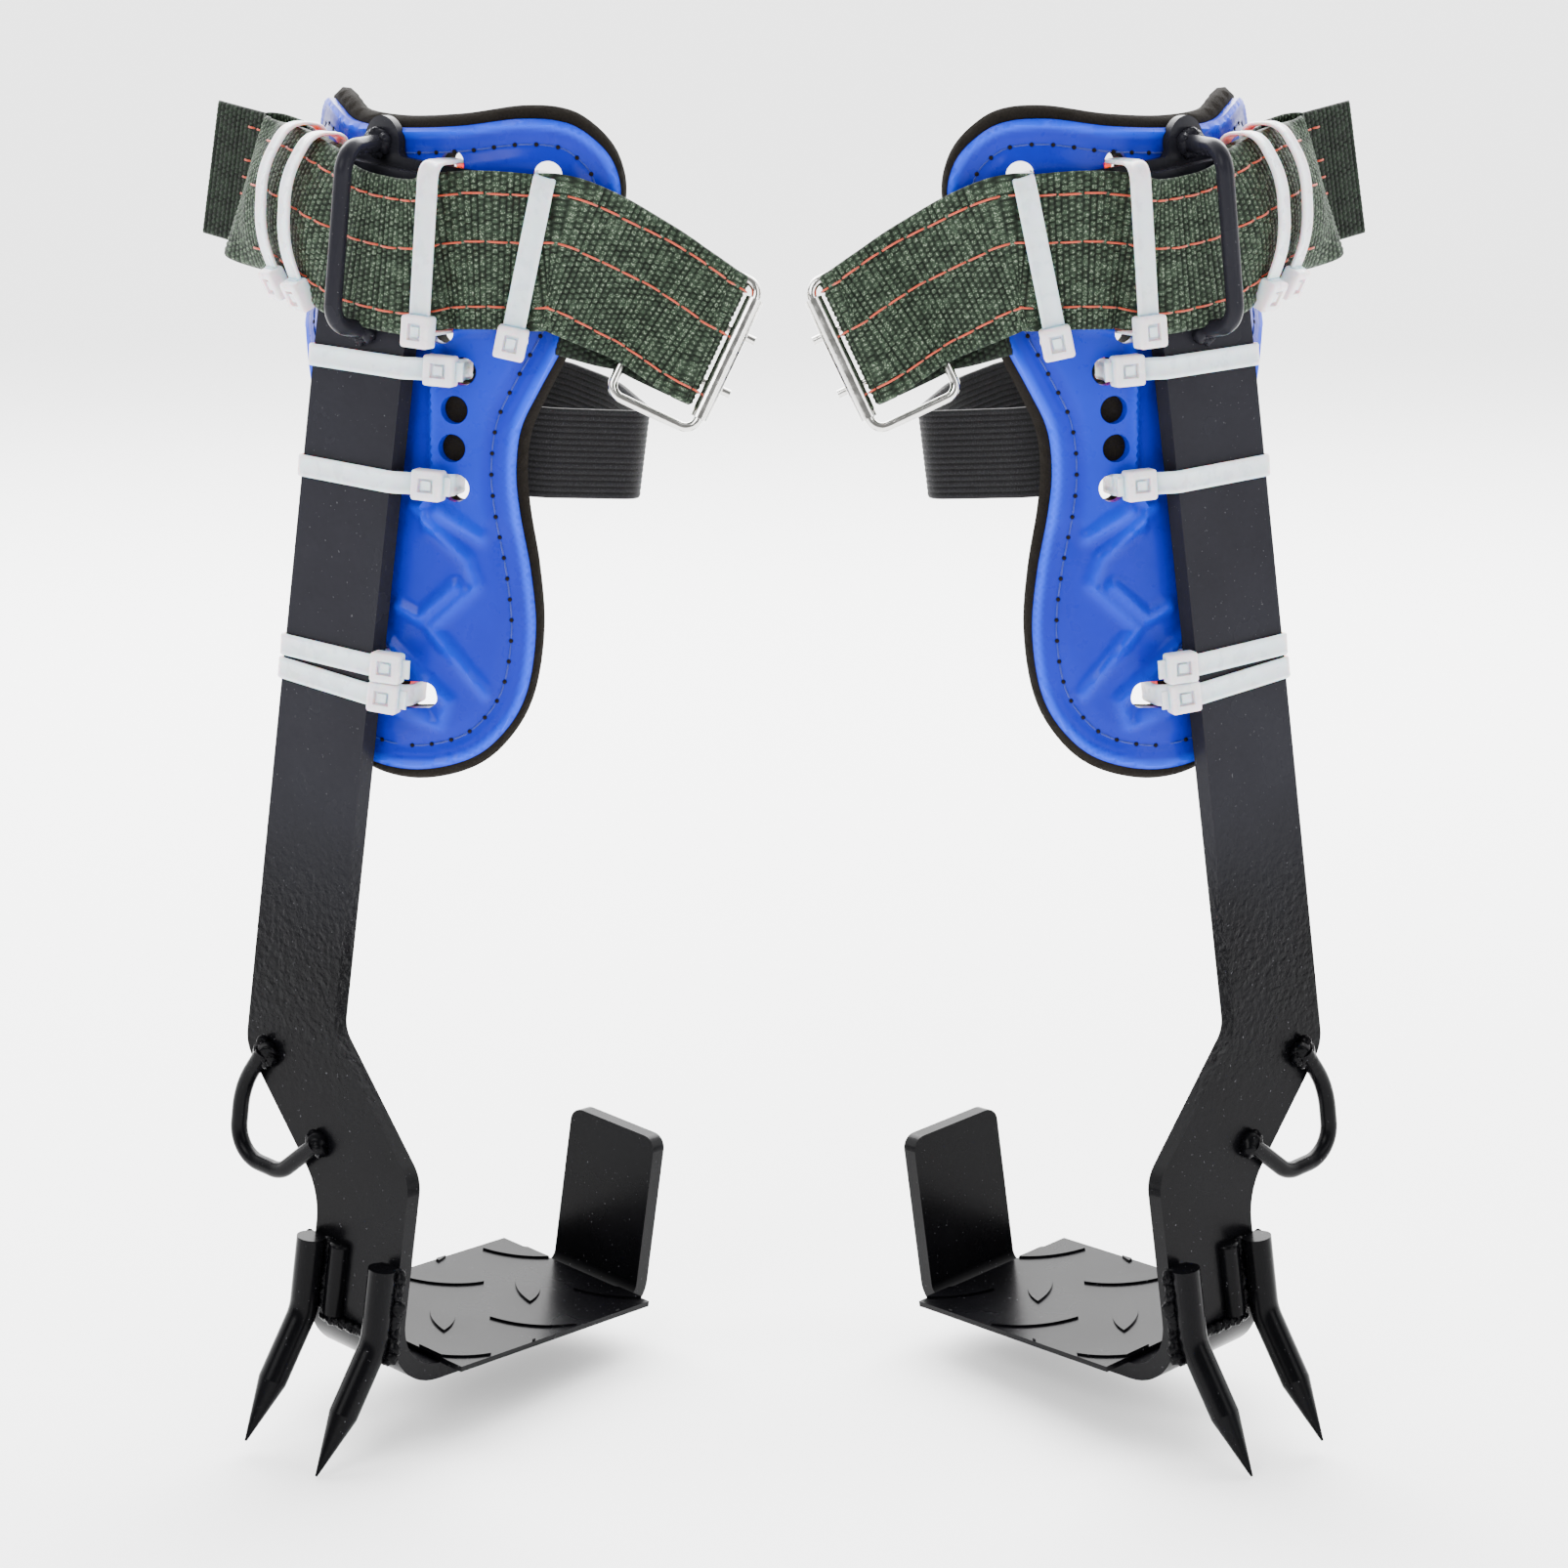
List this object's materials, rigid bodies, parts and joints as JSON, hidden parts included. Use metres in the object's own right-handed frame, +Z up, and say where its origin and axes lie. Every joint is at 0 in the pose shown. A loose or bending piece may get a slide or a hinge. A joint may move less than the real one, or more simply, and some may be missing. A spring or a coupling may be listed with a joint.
{
  "type": "pair of tree climbing spurs",
  "caption": "Left and right tree climbing spurs: dog-legged steel shanks with twin gaffs and stirrups, padded calf guards, webbing straps and roller buckles.",
  "frame": {"origin": "the middle of the bottom of the pair's box, level with the gaff points", "axes": "+Z up, +X from the left spur to the right one, +Y away from the viewer who faces the strap side"},
  "size_m": [0.3994, 0.1562, 0.4513],
  "materials": {
    "black_enamel": "gloss black enamel over bent bar and weld, slight orange peel",
    "blue_guard": "gloss blue moulded sheet with a pressed relief",
    "liner_foam": "dark closed-cell foam, matt",
    "black_elastic": "ribbed woven elastic, matt black",
    "green_webbing": "coarse dark green webbing with orange stitching",
    "nickel_plate": "bright nickel plated wire and sheet",
    "clear_nylon": "translucent white nylon"
  },
  "bodies": {
    "spurs": {"left_shank_bar": "black_enamel", "left_calf_plate": "black_enamel", "left_foot_plate": "black_enamel", "left_rear_gaff": "black_enamel", "left_front_gaff": "black_enamel", "left_gaff_stub": "black_enamel", "left_strap_keeper": "black_enamel", "left_ankle_strap_ring": "black_enamel", "left_weld_beads": "black_enamel", "left_guard_shell": "blue_guard", "left_foam_liner": "liner_foam", "left_elastic_band": "black_elastic", "left_calf_strap": "green_webbing", "left_buckle_loop": "green_webbing", "left_strap_bundle": "green_webbing", "left_strap_tail": "green_webbing", "left_shank_tie_1": "clear_nylon", "left_shank_tie_2": "clear_nylon", "left_shank_tie_3": "clear_nylon", "left_shank_tie_4": "clear_nylon", "left_strap_tie_1": "clear_nylon", "left_strap_tie_2": "clear_nylon", "left_strap_tie_3": "clear_nylon", "left_strap_tie_4": "clear_nylon", "right_shank_bar": "black_enamel", "right_calf_plate": "black_enamel", "right_foot_plate": "black_enamel", "right_rear_gaff": "black_enamel", "right_front_gaff": "black_enamel", "right_gaff_stub": "black_enamel", "right_strap_keeper": "black_enamel", "right_ankle_strap_ring": "black_enamel", "right_weld_beads": "black_enamel", "right_guard_shell": "blue_guard", "right_foam_liner": "liner_foam", "right_elastic_band": "black_elastic", "right_calf_strap": "green_webbing", "right_buckle_loop": "green_webbing", "right_strap_bundle": "green_webbing", "right_strap_tail": "green_webbing", "right_shank_tie_1": "clear_nylon", "right_shank_tie_2": "clear_nylon", "right_shank_tie_3": "clear_nylon", "right_shank_tie_4": "clear_nylon", "right_strap_tie_1": "clear_nylon", "right_strap_tie_2": "clear_nylon", "right_strap_tie_3": "clear_nylon", "right_strap_tie_4": "clear_nylon"},
    "left_buckle": {"left_buckle_frame": "nickel_plate"},
    "left_roller": {"left_buckle_roller": "nickel_plate"},
    "left_upper_prong": {"left_upper_prong": "nickel_plate"},
    "left_lower_prong": {"left_lower_prong": "nickel_plate"},
    "right_buckle": {"right_buckle_frame": "nickel_plate"},
    "right_roller": {"right_buckle_roller": "nickel_plate"},
    "right_upper_prong": {"right_upper_prong": "nickel_plate"},
    "right_lower_prong": {"right_lower_prong": "nickel_plate"}
  },
  "joints": [
    {"name": "left_buckle_swing", "type": "hinge", "parent": "spurs", "child": "left_buckle", "pos_m": [-0.04567, -0.0291, 0.38286], "axis": [0.426, 0.231, 0.8747], "range_deg": [-14, 25]},
    {"name": "left_roller_spin", "type": "hinge", "parent": "left_buckle", "child": "left_roller", "pos_m": [-0.01853, -0.03233, 0.37049], "axis": [0.426, 0.231, 0.8747], "continuous": true},
    {"name": "left_upper_prong_hinge", "type": "hinge", "parent": "left_buckle", "child": "left_upper_prong", "pos_m": [-0.04163, -0.0269, 0.39117], "axis": [0.426, 0.231, 0.8747], "range_deg": [0, 70]},
    {"name": "left_lower_prong_hinge", "type": "hinge", "parent": "left_buckle", "child": "left_lower_prong", "pos_m": [-0.04972, -0.03129, 0.37455], "axis": [0.426, 0.231, 0.8747], "range_deg": [0, 70]},
    {"name": "right_buckle_swing", "type": "hinge", "parent": "spurs", "child": "right_buckle", "pos_m": [0.04567, -0.0291, 0.38286], "axis": [0.426, -0.231, -0.8747], "range_deg": [-14, 25]},
    {"name": "right_roller_spin", "type": "hinge", "parent": "right_buckle", "child": "right_roller", "pos_m": [0.01853, -0.03233, 0.37049], "axis": [0.426, -0.231, -0.8747], "continuous": true},
    {"name": "right_upper_prong_hinge", "type": "hinge", "parent": "right_buckle", "child": "right_upper_prong", "pos_m": [0.04163, -0.0269, 0.39117], "axis": [0.426, -0.231, -0.8747], "range_deg": [0, 70]},
    {"name": "right_lower_prong_hinge", "type": "hinge", "parent": "right_buckle", "child": "right_lower_prong", "pos_m": [0.04972, -0.03129, 0.37455], "axis": [0.426, -0.231, -0.8747], "range_deg": [0, 70]}
  ]
}
